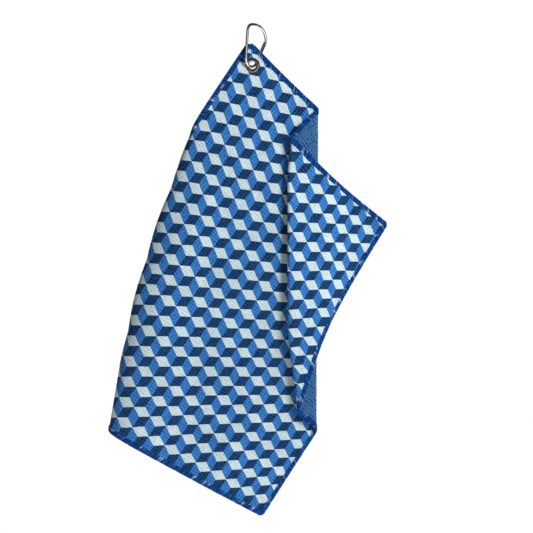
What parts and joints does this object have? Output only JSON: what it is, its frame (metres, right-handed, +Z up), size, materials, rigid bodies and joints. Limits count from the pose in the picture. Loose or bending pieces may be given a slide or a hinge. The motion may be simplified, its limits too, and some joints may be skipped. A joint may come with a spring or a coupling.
{
  "type": "golf towel",
  "caption": "Printed waffle-weave golf towel hanging in folds by one corner from a grommet on a sprung wire carabiner",
  "frame": {"origin": "inside of the carabiner's top bow, where it hangs from a ring", "axes": "+Z up, -Y towards the viewer of the printed face, +X to that viewer's right"},
  "size_m": [0.3468, 0.0362, 0.6159],
  "materials": {
    "waffle_cloth": "waffle-weave microfibre, printed face and denim blue back",
    "hem_thread": "dense overlock thread",
    "grommet_metal": "polished nickel plate",
    "clip_metal": "polished nickel plate",
    "plunger_metal": "turned brass",
    "spring_steel": "drawn wire"
  },
  "bodies": {
    "carabiner": {"carabiner_body": "clip_metal", "gate_rivet": "clip_metal", "latch_pin": "clip_metal"},
    "gate": {"carabiner_gate": "clip_metal", "gate_spring": "spring_steel"},
    "plunger": {"gate_plunger": "plunger_metal"},
    "towel": {"towel_cloth": "waffle_cloth", "hem_top": "hem_thread", "hem_right": "hem_thread", "hem_bottom": "hem_thread", "hem_left": "hem_thread", "grommet_eyelet": "grommet_metal", "grommet_washer": "grommet_metal"}
  },
  "joints": [
    {"name": "gate_hinge", "type": "hinge", "parent": "carabiner", "child": "gate", "pos_m": [0.00612, 0.00513, -0.03854], "axis": [0.6428, -0.766, 0], "range_deg": [0, 30], "stiffness_Nm_per_rad": 0.03, "springref_deg": -28.65},
    {"name": "plunger_slide", "type": "slide", "parent": "gate", "child": "plunger", "axis": [0.3628, 0.3044, 0.8807], "range_m": [0, 0.00042], "deforming": ["gate_spring"]},
    {"name": "towel_swing", "type": "hinge", "parent": "carabiner", "child": "towel", "pos_m": [-0.0019, -0.00159, -0.0495], "axis": [0, -1, 0], "range_deg": [-75, 75]}
  ],
  "couplings": [
    {"joint": "plunger_slide", "follows": "gate_hinge", "m_per_rad": 0.000764}
  ]
}
